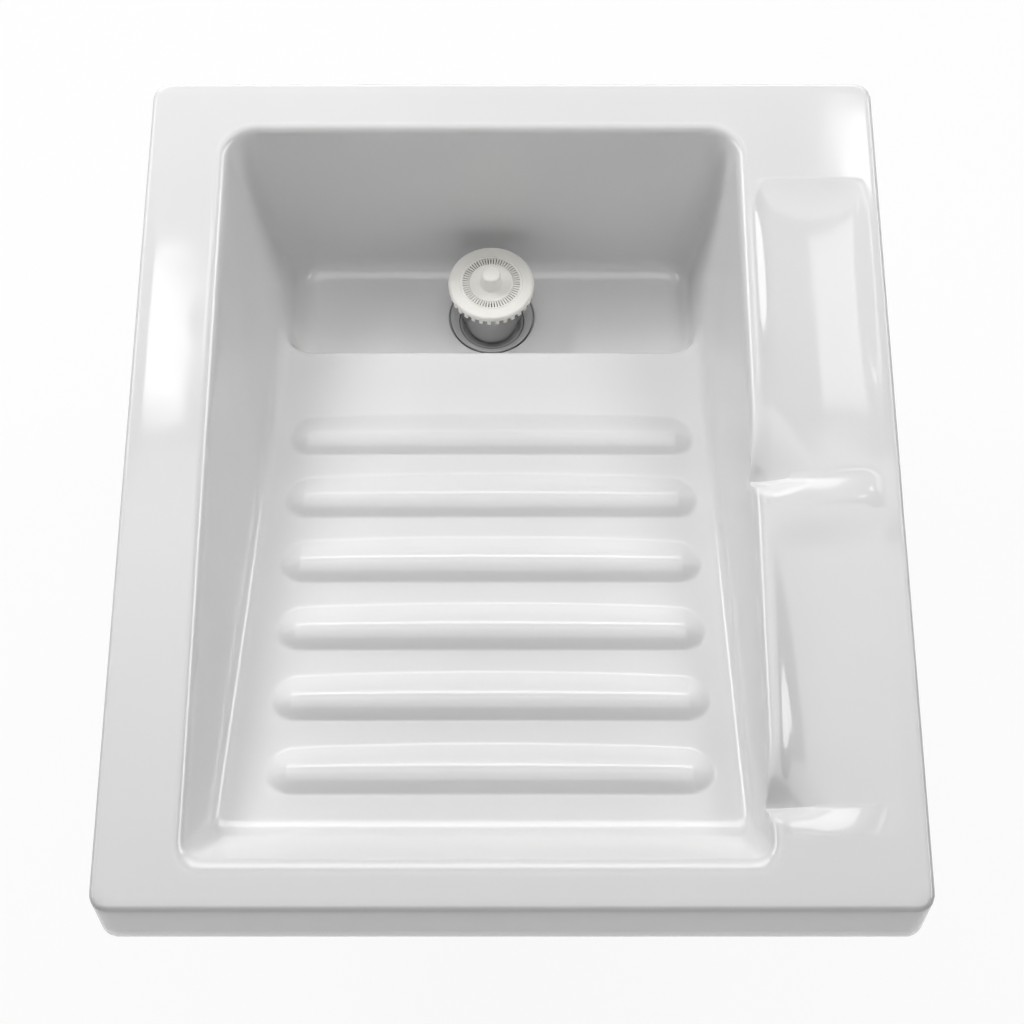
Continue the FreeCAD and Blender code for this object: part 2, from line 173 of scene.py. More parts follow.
def tray_drop(x, y, wider):
    # Depth of the two scooped soap trays below the deck, with a round finger between them.
    from_left, from_right, from_far = x - tray_left + wider, tray_right - x + wider, tray_far - y + wider
    along = np.clip(from_far / (tray_far - tray_bar), 0, 1)
    onward = np.clip((tray_bar - y) / (tray_bar - tray_near), 0, 1)
    across = np.clip(from_left / (tray_right - tray_left), -1, 1)
    across = (np.hypot(across, 0.03) + across) / 2
    rest = np.clip(1 - across, 0, 1)
    # The upper tray is an even scoop that deepens towards the finger, with a lip round its far part.
    upper_depth, upper_fall, upper_start, lip_depth = 3.4, 3.0, 60.0, 2.6
    lip = np.clip(rounded(1.0, from_left / 14, from_right / 13, from_far / 34), 0, 1)
    far_rise = 1 - (1 - np.clip(from_far / upper_start, 0, 1)) ** 2
    even_scoop = 4 * across * rest
    upper = (upper_depth + upper_fall * along) * even_scoop * far_rise
    upper = upper + lip_depth * (1 - ease(along, 0.3, 0.75)) * (1 - (1 - lip) ** 2)
    # The lower tray is a scoop that is deepest on the left and falls to a wall at its near end.
    lower_depth, lower_fall, end_wall = 2.5, 8.5, 22.0
    left_scoop = 6.75 * across * rest ** 2
    lower = (lower_depth + lower_fall * onward) * left_scoop
    lower = lower * climb(y + wider, tray_near, tray_near + end_wall)
    # The finger widens to the right and ends in a round tip, with a dimple at the tip.
    tip, tip_length, far_wall, near_start, near_foot = tray_right - 8.0, 10.0, 23.0, 2.0, 30.0
    dimple_depth, dimple_spread = 1.2, 13.0
    from_dimple = np.hypot(x - tip - 4.0, y - tray_bar)
    dimple = dimple_depth * np.exp(-from_dimple ** 2 / (2 * dimple_spread ** 2))
    half = 1.0 + 4.0 * ease(x, tray_left + 10.0, tip)
    off_finger = np.hypot(np.maximum(x - (tip - tip_length), 0), y - tray_bar) + wider
    far_side = (upper + dimple) * climb(off_finger, half, half + far_wall)
    near_side = (lower + dimple) * ease(off_finger, near_start, near_foot)
    return np.where(y > tray_bar, far_side, near_side)


def notch_through(x, y, z, below):
    # The two notches that drain the trays: hollows that fall to a crisp wall and cross the divider.
    # Each is given by where it starts, and by the foot and the top of its wall.
    notches = ((95.0, tray_bar + 24, tray_bar), (-150.0, tray_near + 23, tray_near - 2))
    start_height, depth, tray_rise, basin_rise = 14.0, 30.0, 36.0, 9.0
    divider_edge, tray_edge = 6.0, 18.0
    for start_y, foot_y, top_y in notches:
        fall = np.clip((start_y - y) / (start_y - foot_y), 0, 1) ** 2.2
        valley = deck_z + start_height - depth * fall * climb(y, top_y, foot_y) - below
        valley = valley + tray_rise * ease(x, 158, 222) + basin_rise * np.maximum(135 - x, 0)
        z = soft_least(z, valley, divider_edge + (tray_edge - divider_edge) * ease(x, 154, 170))
    return z


def settle(low, high, inside):
    # Heights at which a depth turns from inside to outside, found by halving.
    for _ in range(44):
        middle = (low + high) / 2
        is_in = inside(middle) > 0
        low = np.where(is_in, middle, low)
        high = np.where(is_in, high, middle)
    return (low + high) / 2


def round_plan(x, y, half_x, half_y, radius):
    # The plan's square corners pulled in to round ones, and the distance left to the rim.
    a = np.maximum(np.abs(x) - (half_x - radius), 0)
    b = np.maximum(np.abs(y) - (half_y - radius), 0)
    new_a = a * np.sqrt(1 - b ** 2 / (2 * radius ** 2))
    new_b = b * np.sqrt(1 - a ** 2 / (2 * radius ** 2))
    rim = np.minimum(half_x - np.abs(x), half_y - np.abs(y))
    rim = np.where((a > 0) & (b > 0), radius - np.hypot(new_a, new_b), rim)
    return x - np.sign(x) * (a - new_a), y - np.sign(y) * (b - new_b), np.clip(rim, 0, None)


def edge_drop(rim, radius):
    # How far a rounded edge has fallen at some distance from the rim.
    return radius - np.sqrt(radius ** 2 - np.maximum(radius - rim, 0) ** 2)


def ring_round_drain(x, y, squares, rings, fade):
    # Mould lines near the drain bent from squares to rings round it.
    a, b = x - drain_x, y - drain_y
    reach = np.maximum(np.abs(a), np.abs(b))
    span = np.maximum(np.hypot(a, b), 1e-9)
    target = np.interp(reach, squares, rings)
    share = ease(fade - reach, 0, fade - squares[-1])
    scale = 1 + share * (target / span - 1)
    return drain_x + a * scale, drain_y + b * scale


def moulded_grid(name, across, along):
    # A flat grid with one row of points for each mould line, and the lines on which its points stand.
    bpy.ops.object.select_all(action="DESELECT")
    bpy.ops.mesh.primitive_grid_add(x_subdivisions=len(across) - 1, y_subdivisions=len(along) - 1, size=1)
    grid = bpy.context.object
    grid.name = name
    grid.data.name = name
    flat = np.empty(len(grid.data.vertices) * 3)
    grid.data.vertices.foreach_get("co", flat)
    flat = flat.reshape(-1, 3)
    column = np.rint((flat[:, 0] + 0.5) * (len(across) - 1)).astype(int)
    row = np.rint((flat[:, 1] + 0.5) * (len(along) - 1)).astype(int)
    return grid, np.array(across)[column], np.array(along)[row]


def place_points(grid, x, y, z):
    # Moves the points of a grid to their places on the mould.
    grid.data.vertices.foreach_set("co", (np.stack([x, y, z], axis=1) / 1000).ravel())
    grid.data.update()


def cut_drain_hole(grid, inside):
    # Points well inside the drain's ring are taken out, which leaves a round hole.
    bpy.ops.object.mode_set(mode="EDIT")
    bpy.ops.mesh.select_mode(type="VERT")
    bpy.ops.mesh.select_all(action="DESELECT")
    bpy.ops.object.mode_set(mode="OBJECT")
    grid.data.vertices.foreach_set("select", inside)
    bpy.ops.object.mode_set(mode="EDIT")
    bpy.ops.mesh.delete(type="VERT")
    bpy.ops.object.mode_set(mode="OBJECT")


def pick_open_edges(piece, wanted):
    # Selects the open edges whose middle is where it is wanted, and stays in edit mode.
    bpy.ops.object.mode_set(mode="EDIT")
    bpy.ops.mesh.select_mode(type="EDGE")
    bpy.ops.mesh.select_all(action="DESELECT")
    bpy.ops.object.mode_set(mode="OBJECT")
    mesh = piece.data
    edge_count = len(mesh.edges)
    uses = np.zeros(edge_count, int)
    loops = np.empty(len(mesh.loops), int)
    mesh.loops.foreach_get("edge_index", loops)
    np.add.at(uses, loops, 1)
    ends = np.empty(edge_count * 2, int)
    mesh.edges.foreach_get("vertices", ends)
    points = np.empty(len(mesh.vertices) * 3)
    mesh.vertices.foreach_get("co", points)
    middles = points.reshape(-1, 3)[ends.reshape(-1, 2)].mean(axis=1) * 1000
    mesh.edges.foreach_set("select", (uses == 1) & wanted(middles))
    bpy.ops.object.mode_set(mode="EDIT")


def round_drain(middles):
    # Whether places lie on the rings round the drain.
    return np.hypot(middles[:, 0] - drain_x, middles[:, 1] - drain_y) < 34


def at_rim(middles):
    # Whether places lie well away from the drain, as the sink's rim does.
    return np.hypot(middles[:, 0] - drain_x, middles[:, 1] - drain_y) > 60


def draw_out(steps, centre):
    # Extrudes the picked edges step by step: (scale across, scale along, move in height).
    for scale_x, scale_y, drop in steps:
        bpy.ops.mesh.extrude_edges_move(TRANSFORM_OT_translate={"value": (0, 0, drop / 1000)})
        bpy.ops.transform.resize(value=(scale_x, scale_y, 1), center_override=centre)


def steps_along(outline):
    # The steps that draw a ring out along a half section of (radius, height).
    steps = []
    for (radius, height), (next_radius, next_height) in zip(outline, outline[1:]):
        steps.append((next_radius / radius, next_radius / radius, next_height - height))
    return steps


# The mould lines stand close over edges, ridges and walls, and far apart on the flats.
drain_square = 28.0
turn_lines = [deck_edge * (1 - math.cos(math.radians(15 * i))) for i in range(7)]
across = graded(
    [-deck_x + deck_edge], (-207, 6.5), (-192, 1.0), (-140, 1.4), (drain_x - drain_square, 7),
    (drain_x + drain_square, 2.35), (112, 7), (148, 1.4), (158, 0.8), (172, 0.9), (200, 2.0), (228, 3.0),
    (deck_x - deck_edge, 1.5),
)
across = [-deck_x + d for d in turn_lines[:-1]] + across + [deck_x - d for d in turn_lines[-2::-1]]
along = graded([-deck_y + deck_edge], (-280, 5.3), (-274, 1.5), (-263, 0.9), (-224, 1.7))
for centre in reversed(ridge_centres):
    along = graded(
        along, (centre - 20, 3.9), (centre - 17, 1.0), (centre - 6.8, 2.5), (centre - 0.8, 0.75),
        (centre + 11.2, 3.0), (centre + 18.2, 1.2),
    )
along = graded(
    along, (148, 5), (152, 1.4), (drain_y - drain_square, 1.05), (205, 2.35), (225, 1.2),
    (drain_y + drain_square, 2.35), (237.5, 1.5), (250, 0.9), (258.5, 0.75),
)
along += [258.7, 258.9, 259.2, 259.6, 260.1, 260.8, 261.6, 262.6, 263.7, 264.9, 266.2]
along = graded(along, (deck_y - deck_edge, 6))
along = [-deck_y + d for d in turn_lines[:-1]] + along + [deck_y - d for d in turn_lines[-2::-1]]

below_all, above_all = -140.0, 70.0
sink, flat_x, flat_y = moulded_grid("sink", across, along)
in_drain = np.maximum(np.abs(flat_x - drain_x), np.abs(flat_y - drain_y)) < drain_square - 0.1
x, y, rim = round_plan(flat_x, flat_y, deck_x, deck_y, deck_corner)
x, y = ring_round_drain(x, y, [0, drain_square], [0, recess_edge], 38)
y = follow_ridges(x, y)
ridge = ridges(x, y)
z = settle(
    np.full_like(x, below_all), np.full_like(x, above_all),
    lambda level: rounded(basin_lip, deck_z - level, -basin(x, y, level, 0, ridge)),
)
z = notch_through(x, y, z - tray_drop(x, y, 0.0), 0.0)
place_points(sink, x, y, z - edge_drop(rim, deck_edge))
cut_drain_hole(sink, in_drain)

pick_open_edges(sink, at_rim)
apron_drop = deck_z - deck_edge - 2.0
draw_out([
    (1, 1, -0.25 * apron_drop), (1, 1, -0.5 * apron_drop), (1, 1, -0.25 * apron_drop),
    (1 - 0.3 / deck_x, 1 - 0.3 / deck_y, -1.0),
    (1 - 0.7 / deck_x, 1 - 0.7 / deck_y, -0.7), (1 - 1.0 / deck_x, 1 - 1.0 / deck_y, -0.3),
], (0, 0, 0))
pick_open_edges(sink, round_drain)
draw_out(steps_along([
    (recess_edge, 0), (31.9, -0.12), (31.4, -0.52), (recess_radius, -1.22), (recess_radius, -3.4),
    (hole_radius, -6.25), (hole_radius, -10.25),
]), drain_axis)
bpy.ops.object.mode_set(mode="OBJECT")

# The underside follows the top at the skin's thickness, with a flat boss round the drain's hole.
in_x, in_y, in_edge, in_corner = deck_x - skin, deck_y - skin, 4.0, 6.0
boss_depth, boss_radius, boss_slope, notch_skin = 5.0, 42.0, 6.0, 9.0
across = graded(
    [-in_x], (-in_x + in_edge, 1), (-205, 7), (-140, 3.2), (drain_x - 38, 8), (drain_x - 36, 2),
    (drain_x - drain_square, 4), (drain_x + drain_square, 4.7), (drain_x + 36, 4), (drain_x + 38, 2),
    (112, 8), (172, 3), (in_x - in_edge, 5.5), (in_x, 1),
)
along = graded(
    [-in_y], (-in_y + in_edge, 1), (-275, 5), (-215, 3.5), (140, 9), (drain_y - 38, 3), (drain_y - 36, 2),
    (drain_y - drain_square, 4), (drain_y + drain_square, 4.7), (drain_y + 36, 4), (drain_y + 38, 2),
    (270, 1.9), (in_y - in_edge, 5), (in_y, 1),
)
underside, flat_x, flat_y = moulded_grid("sink_underside", across, along)
in_drain = np.maximum(np.abs(flat_x - drain_x), np.abs(flat_y - drain_y)) < drain_square - 0.1
x, y, rim = round_plan(flat_x, flat_y, in_x, in_y, in_corner)
x, y = ring_round_drain(x, y, [0, drain_square, 36, 38], [0, hole_radius, 41.5, 43.5], 56)
no_ridge = np.zeros_like(x)
z = settle(
    np.full_like(x, below_all), np.full_like(x, deck_z - 2.0),
    lambda level: rounded(in_corner, deck_z - skin - level, -basin(x, y, level, skin, no_ridge)),
)
z = notch_through(x, y, z - tray_drop(x, y, skin), notch_skin)
from_drain = np.hypot(x - drain_x, y - drain_y)
z = np.minimum(z, floor_z - skin - boss_depth + boss_slope * np.maximum(from_drain - boss_radius, 0))
place_points(underside, x, y, z - edge_drop(rim, in_edge))
cut_drain_hole(underside, in_drain)
bpy.ops.object.mode_set(mode="EDIT")
bpy.ops.mesh.select_all(action="SELECT")
bpy.ops.mesh.flip_normals()
pick_open_edges(underside, at_rim)
draw_out([
    (1, 1, -20.0), (1, 1, -20.0), (1 + 0.3 / in_x, 1 + 0.3 / in_y, -1.0),
    (1 + 0.7 / in_x, 1 + 0.7 / in_y, -0.7), (1 + 0.6 / in_x, 1 + 0.6 / in_y, -0.3),
], (0, 0, 0))
bpy.ops.object.mode_set(mode="OBJECT")

# Handling marks that all finishes share: broad smudges for tint and gloss, and a fine grain.
surface_wear = bpy.data.node_groups.new("surface_wear", "ShaderNodeTree")
surface_wear.interface.new_socket(name="Vector", in_out="INPUT", socket_type="NodeSocketVector")
surface_wear.interface.new_socket(name="Smudge Scale", in_out="INPUT", socket_type="NodeSocketFloat")
surface_wear.interface.new_socket(name="Grain Scale", in_out="INPUT", socket_type="NodeSocketFloat")
surface_wear.interface.new_socket(name="Smudge", in_out="OUTPUT", socket_type="NodeSocketFloat")
surface_wear.interface.new_socket(name="Grain", in_out="OUTPUT", socket_type="NodeSocketFloat")
given = surface_wear.nodes.new("NodeGroupInput")
shown = surface_wear.nodes.new("NodeGroupOutput")
for mark, detail in (("Smudge", 4.0), ("Grain", 2.0)):
    noise = surface_wear.nodes.new("ShaderNodeTexNoise")
    noise.inputs["Detail"].default_value = detail
    surface_wear.links.new(given.outputs["Vector"], noise.inputs["Vector"])
    surface_wear.links.new(given.outputs[mark + " Scale"], noise.inputs["Scale"])
    surface_wear.links.new(noise.outputs["Fac"], shown.inputs[mark])


def new_material(name):
    # A material with nothing but its output, and its nodes and links.
    material = bpy.data.materials.new(name)
    material.use_nodes = True
    nodes, links = material.node_tree.nodes, material.node_tree.links
    nodes.clear()
    return material, nodes, links, nodes.new("ShaderNodeOutputMaterial")


def worn_finish(name, scales, tints, roughness, relief, marks=("Smudge", "Smudge", "Grain")):
    # A finish whose tint, roughness and relief each follow a mark: scales of smudge and grain, two
    # tints with their places on the ramp, lowest and highest roughness, strength and depth of the relief.
    material, nodes, links, out = new_material(name)
    surface = nodes.new("ShaderNodeBsdfPrincipled")
    links.new(surface.outputs[0], out.inputs[0])
    place = nodes.new("ShaderNodeTexCoord")
    wear = nodes.new("ShaderNodeGroup")
    wear.node_tree = surface_wear
    wear.inputs["Smudge Scale"].default_value = scales[0]
    wear.inputs["Grain Scale"].default_value = scales[1]
    links.new(place.outputs["Object"], wear.inputs["Vector"])
    tint_mark, rough_mark, relief_mark = [wear.outputs[mark] for mark in marks]
    tint = nodes.new("ShaderNodeValToRGB")
    for stop, (position, colour) in zip(tint.color_ramp.elements, tints):
        stop.position = position
        stop.color = (*colour, 1)
    links.new(tint_mark, tint.inputs["Fac"])
    links.new(tint.outputs["Color"], surface.inputs["Base Color"])
    # A mark's usual range is stretched over the roughness.
    stretch = nodes.new("ShaderNodeMapRange")
    stretch.inputs["From Min"].default_value = 0.3
    stretch.inputs["From Max"].default_value = 0.75
    stretch.inputs["To Min"].default_value = roughness[0]
    stretch.inputs["To Max"].default_value = roughness[1]
    links.new(rough_mark, stretch.inputs["Value"])
    links.new(stretch.outputs["Result"], surface.inputs["Roughness"])
    bump = nodes.new("ShaderNodeBump")
    bump.inputs["Strength"].default_value = relief[0]
    bump.inputs["Distance"].default_value = relief[1]
    links.new(relief_mark, bump.inputs["Height"])
    links.new(bump.outputs["Normal"], surface.inputs["Normal"])
    return material


gel_coat = worn_finish(
    "gel_coat", scales=(24.0, 9.0),
    tints=((0.0, (0.775, 0.776, 0.776)), (1.0, (0.815, 0.815, 0.812))),
    roughness=(0.05, 0.12), relief=(0.5, 0.0016), marks=("Grain", "Smudge", "Grain"),
)
gel_coat.node_tree.nodes["Principled BSDF"].inputs["IOR"].default_value = 1.52
laminate = worn_finish(
    "bare_laminate", scales=(55.0, 320.0),
    tints=((0.3, (0.60, 0.595, 0.56)), (0.7, (0.72, 0.715, 0.69))),
    roughness=(0.45, 0.65), relief=(0.6, 0.0008), marks=("Smudge", "Grain", "Smudge"),
)

sink.data.materials.append(gel_coat)
underside.data.materials.append(laminate)
bpy.ops.object.select_all(action="DESELECT")
underside.select_set(True)
sink.select_set(True)
bpy.context.view_layer.objects.active = sink
bpy.ops.object.join()
pick_open_edges(sink, at_rim)
bpy.ops.mesh.bridge_edge_loops()
pick_open_edges(sink, round_drain)
bpy.ops.mesh.bridge_edge_loops()
bpy.ops.mesh.select_all(action="SELECT")
bpy.ops.mesh.normals_make_consistent(inside=False)
bpy.ops.object.mode_set(mode="OBJECT")
bpy.ops.object.shade_smooth_by_angle(angle=math.radians(38))
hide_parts("sink_body")
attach(sink, "sink")

# Flange gasket: a soft black rubber ring, punched from sheet and laid in the recess under the flange.
# The clamp squeezes it into the shape of a shallow cone.
flange_radius, bore_radius, flange_dish, flange_thick = 30.2, 24.0, 6.0, 2.2
gasket_thick, gasket_slack = 1.2, 0.1


def dish(radius, below):
    # A point some way below the dished top of the drain's flange.
    return radius, floor_z - flange_dish * (flange_radius - radius) / (flange_radius - bore_radius) - below


def turned(name, outline, sides):
    # A round piece on the drain's axis, drawn out ring by ring along a half section of (radius, height).
    bpy.ops.object.select_all(action="DESELECT")
    bpy.ops.mesh.primitive_circle_add(vertices=sides, radius=outline[0][0] / 1000)
    piece = bpy.context.object
    piece.name = name
    piece.data.name = name
    bpy.ops.object.mode_set(mode="EDIT")
    bpy.ops.mesh.select_all(action="SELECT")
    bpy.ops.transform.translate(value=(drain_x / 1000, drain_y / 1000, outline[0][1] / 1000))
    draw_out(steps_along(outline), drain_axis)
    bpy.ops.mesh.select_all(action="SELECT")
    bpy.ops.mesh.remove_doubles(threshold=0.00002)
    bpy.ops.mesh.normals_make_consistent(inside=False)
    bpy.ops.object.mode_set(mode="OBJECT")
    return piece


def soften(piece, width):
    # Sharp edges turned to small rounds.
    bpy.context.view_layer.objects.active = piece
    bpy.ops.object.modifier_add(type="BEVEL")
    bevel = piece.modifiers[-1]
    bevel.width = width / 1000
    bevel.segments = 3
    bevel.limit_method = "ANGLE"
    bevel.angle_limit = math.radians(32)
    bpy.ops.object.modifier_apply(modifier=bevel.name)
    bpy.ops.object.shade_smooth_by_angle(angle=math.radians(35))


def hand_over(piece, node, body, material):
    # The finished piece takes the place of its plain node.
    piece.data.materials.append(material)
    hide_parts(node)
    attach(piece, body)


rubber = worn_finish(
    "black_rubber", scales=(60.0, 900.0),
    tints=((0.35, (0.022, 0.022, 0.023)), (0.75, (0.055, 0.054, 0.052))),
    roughness=(0.5, 0.75), relief=(0.3, 0.0001),
)
gasket_top, gasket_low = flange_thick + gasket_slack, flange_thick + gasket_thick - gasket_slack
section = [
    dish(hole_radius, gasket_top), dish(flange_radius, gasket_top),
    dish(flange_radius, gasket_low), dish(hole_radius, gasket_low),
]
gasket = turned("flange_gasket_ring", section + section[:1], 72)
soften(gasket, 0.3)
hand_over(gasket, "flange_gasket", "sink", rubber)

# Drain body: a waste fitting turned and polished from stainless steel, with a dished flange that covers
# the hole, a rolled thread below for its nut, a ledge for the stopper and a threaded spigot. The dish
# is coated white like the sink.


def levels(node):
    # Lowest and highest point of a node, in millimetres.
    low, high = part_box(node)
    return low[2] * 1000, high[2] * 1000


drain_low = levels("drain_body")[0]
body_radius, spigot_radius, outlet_radius = 26.5, 23.9, 18.0
ledge_z, spigot_z = drain_low + 19.0, drain_low + 16.0
waste_pitch, waste_depth = 2.5, 0.8

steel = worn_finish(
    "polished_steel", scales=(45.0, 500.0),
    tints=((0.3, (0.55, 0.55, 0.55)), (0.7, (0.63, 0.63, 0.625))),
    roughness=(0.1, 0.24), relief=(0.05, 0.00005),
)
steel.node_tree.nodes["Principled BSDF"].inputs["Metallic"].default_value = 1.0


def thread(radius, high, low, pitch, depth):
    # Rings of a thread down a body, from its high end to its low end.
    count = int((high - low) / pitch)
    points = []
    for i in range(count):
        z = high - i * pitch
        points += [(radius, z), (radius, z - 0.35 * pitch), (radius - depth, z - 0.65 * pitch)]
    return points + [(radius, high - count * pitch)]


def pick_faces(piece, wanted):
    # Selects the faces whose middle, given round the drain's axis in mm and degrees, is wanted.
    bpy.context.view_layer.objects.active = piece
    bpy.ops.object.mode_set(mode="EDIT")
    bpy.ops.mesh.select_mode(type="FACE")
    bpy.ops.mesh.select_all(action="DESELECT")
    bpy.ops.object.mode_set(mode="OBJECT")
    middles = np.empty(len(piece.data.polygons) * 3)
    piece.data.polygons.foreach_get("center", middles)
    middles = middles.reshape(-1, 3) * 1000 - [drain_x, drain_y, 0]
    turn = np.degrees(np.arctan2(middles[:, 1], middles[:, 0])) % 360
    chosen = wanted(np.hypot(middles[:, 0], middles[:, 1]), turn, middles[:, 2])
    piece.data.polygons.foreach_set("select", chosen)
    bpy.ops.object.mode_set(mode="EDIT")


section = [dish(bore_radius, 0), dish(flange_radius, 0), dish(flange_radius, flange_thick)]
section += [dish(body_radius, flange_thick), (body_radius, floor_z - 9.0)]
section += thread(body_radius, floor_z - 11.0, spigot_z, waste_pitch, waste_depth)
section += [(body_radius, spigot_z), (spigot_radius, spigot_z)]
section += thread(spigot_radius, spigot_z - 0.5, drain_low, waste_pitch, waste_depth)
section += [(spigot_radius, drain_low), (outlet_radius, drain_low)]
section += [(outlet_radius, ledge_z), (bore_radius, ledge_z)]
drain = turned("drain_fitting", section + section[:1], 96)
soften(drain, 0.25)
hand_over(drain, "drain_body", "sink", steel)
drain.data.materials.append(gel_coat)
pick_faces(drain, lambda r, turn, z: (
    (r > bore_radius - 0.3) & (r < flange_radius + 0.3) & (z > dish(r, 1.0)[1])
))
drain.active_material_index = 1
bpy.ops.object.material_slot_assign()
bpy.ops.object.mode_set(mode="OBJECT")

# Floor washer and slip ring: under the floor a thick rubber washer seals the hole, and a thin plastic
# ring lets the nut turn without dragging the rubber.
plastic = worn_finish(
    "white_plastic", scales=(30.0, 700.0),
    tints=((0.3, (0.70, 0.70, 0.69)), (0.7, (0.78, 0.78, 0.775))),
    roughness=(0.35, 0.5), relief=(0.25, 0.0001),
)
clamp_radius, thread_gap = 37.0, 0.15
for node, slot, material in (("floor_washer", "rubber", rubber), ("slip_ring", "white_plastic", plastic)):
    low, high = levels(node)
    section = [
        (body_radius + thread_gap, low), (clamp_radius, low),
        (clamp_radius, high), (body_radius + thread_gap, high),
    ]
    washer = turned(node + "_disc", section + section[:1], 72)
    soften(washer, 0.3)
    hand_over(washer, node, "sink", material)

# Backnut: a big nut moulded of white plastic, with six lugs for a wrench. It is screwed up the drain
# body's thread and clamps the floor between the flange and the washers.
nut_radius, nut_seat, nut_sides = 39.0, 34.0, 72
lug_radius, lug_sides, lug_count = 43.8, 4, 6
low, high = levels("drain_backnut")
section = [
    (body_radius + thread_gap, low), (nut_seat, low), (nut_radius, low),
    (nut_radius, high), (nut_seat, high), (body_radius + thread_gap, high),
]
backnut = turned("waste_backnut", section + section[:1], nut_sides)
lug_turn, lug_width = 360 / lug_count, 360 / nut_sides * lug_sides
pick_faces(backnut, lambda r, turn, z: (r > nut_radius - 0.5) & (turn % lug_turn < lug_width))
bpy.ops.mesh.extrude_region_move()
bpy.ops.transform.resize(
    value=(lug_radius / nut_radius, lug_radius / nut_radius, 0.9),
    center_override=(drain_x / 1000, drain_y / 1000, (low + high) / 2000),
)
bpy.ops.object.mode_set(mode="OBJECT")
soften(backnut, 0.7)
hand_over(backnut, "drain_backnut", "sink", plastic)

# Outlet: a flat rubber seal, the plain tailpiece that carries the water to the trap, and the
# six-sided coupling nut that draws the tailpiece's flange up to the spigot.
seal_radius = spigot_radius - 0.3
low, high = levels("outlet_gasket")
section = [(outlet_radius, low), (seal_radius, low), (seal_radius, high), (outlet_radius, high)]
outlet_seal = turned("outlet_seal", section + section[:1], 72)
soften(outlet_seal, 0.3)
hand_over(outlet_seal, "outlet_gasket", "sink", rubber)

pipe_radius, pipe_bore = 19.0, 17.4
low, high = levels("tailpiece")
section = [
    (pipe_bore, low), (pipe_radius - 0.5, low), (pipe_radius, low + 1.0), (pipe_radius, high - 6.5),
    (pipe_radius - 0.2, high - 6.0), (pipe_radius - 0.2, high - 2.0), (seal_radius, high - 2.0),
    (seal_radius, high), (pipe_bore, high),
]
pipe = turned("outlet_pipe", section + section[:1], 72)
soften(pipe, 0.25)
hand_over(pipe, "tailpiece", "sink", plastic)


def cut_to_hexagon(piece, radius, low, high):
    # Six flats cut on a turned blank, which leaves the turned chamfers on the corners.
    bpy.ops.object.select_all(action="DESELECT")
    bpy.ops.mesh.primitive_cylinder_add(
        vertices=6, radius=radius / 1000, depth=(high - low + 4) / 1000,
        location=(drain_x / 1000, drain_y / 1000, (low + high) / 2000), rotation=(0, 0, math.radians(30)),
    )
    flats = bpy.context.object
    bpy.context.view_layer.objects.active = piece
    bpy.ops.object.modifier_add(type="BOOLEAN")
    cut = piece.modifiers[-1]
    cut.operation = "INTERSECT"
    cut.solver = "EXACT"
    cut.object = flats
    bpy.ops.object.modifier_apply(modifier=cut.name)
    bpy.ops.object.select_all(action="DESELECT")
    flats.select_set(True)
    bpy.ops.object.delete()
    piece.select_set(True)
    bpy.context.view_layer.objects.active = piece


coupling_radius, coupling_face, coupling_chamfer, coupling_web = 30.0, 26.0, 2.2, 3.5
coupling_bore, coupling_thread = pipe_radius + 0.3, spigot_radius + thread_gap
low, high = levels("coupling_nut")
section = [
    (coupling_bore, low), (coupling_face, low), (coupling_radius, low + coupling_chamfer),
    (coupling_radius, high - coupling_chamfer), (coupling_face, high), (coupling_thread, high),
    (coupling_thread, low + coupling_web), (coupling_bore, low + coupling_web),
]
coupling = turned("coupling_hexagon", section + section[:1], 96)
cut_to_hexagon(coupling, coupling_radius, low, high)
soften(coupling, 0.5)
hand_over(coupling, "coupling_nut", "sink", plastic)

# Basket cup: a straight cup drawn from polished stainless sheet, with a flat rim that the cap sits on
# and two rings of drain holes punched through its base.
cup_radius, cup_wall, cup_rim, stem_hole = 22.0, 1.0, 26.0, 3.1
cup_bore, cup_base = cup_radius - cup_wall, cup_radius - 2.0
hole_rings, punch_radius, punch_depth = ((9.5, 8), (15.5, 14)), 2.0, 6.0
low, high = levels("basket_cup")
section = [
    (stem_hole, low), (cup_base, low), (cup_radius - 0.8, low + 0.35), (cup_radius - 0.2, low + 1.0),
    (cup_radius, low + 2.0), (cup_radius, high - 2.2), (cup_radius + 0.4, high - 1.3),
    (cup_radius + 1.2, high - 1.0), (cup_rim, high - 1.0), (cup_rim, high), (cup_bore, high),
    (cup_bore, low + 2.0), (cup_base, low + cup_wall), (stem_hole, low + cup_wall),
]
cup = turned("basket_tube", section + section[:1], 96)
for ring_radius, count in hole_rings:
    for i in range(count):
        bpy.ops.object.select_all(action="DESELECT")
        turn = 2 * math.pi * i / count
        bpy.ops.mesh.primitive_cylinder_add(
            vertices=20, radius=punch_radius / 1000, depth=punch_depth / 1000,
            location=((drain_x + ring_radius * math.cos(turn)) / 1000,
                      (drain_y + ring_radius * math.sin(turn)) / 1000, low / 1000),
        )
        punch = bpy.context.object
        bpy.context.view_layer.objects.active = cup
        bpy.ops.object.modifier_add(type="BOOLEAN")
        cut = cup.modifiers[-1]
        cut.operation = "DIFFERENCE"
        cut.solver = "EXACT"
        cut.object = punch
        bpy.ops.object.modifier_apply(modifier=cut.name)
        bpy.ops.object.select_all(action="DESELECT")
        punch.select_set(True)
        bpy.ops.object.delete()
cup.select_set(True)
bpy.context.view_layer.objects.active = cup
bpy.ops.object.shade_smooth_by_angle(angle=math.radians(35))
hand_over(cup, "basket_cup", "strainer", steel)

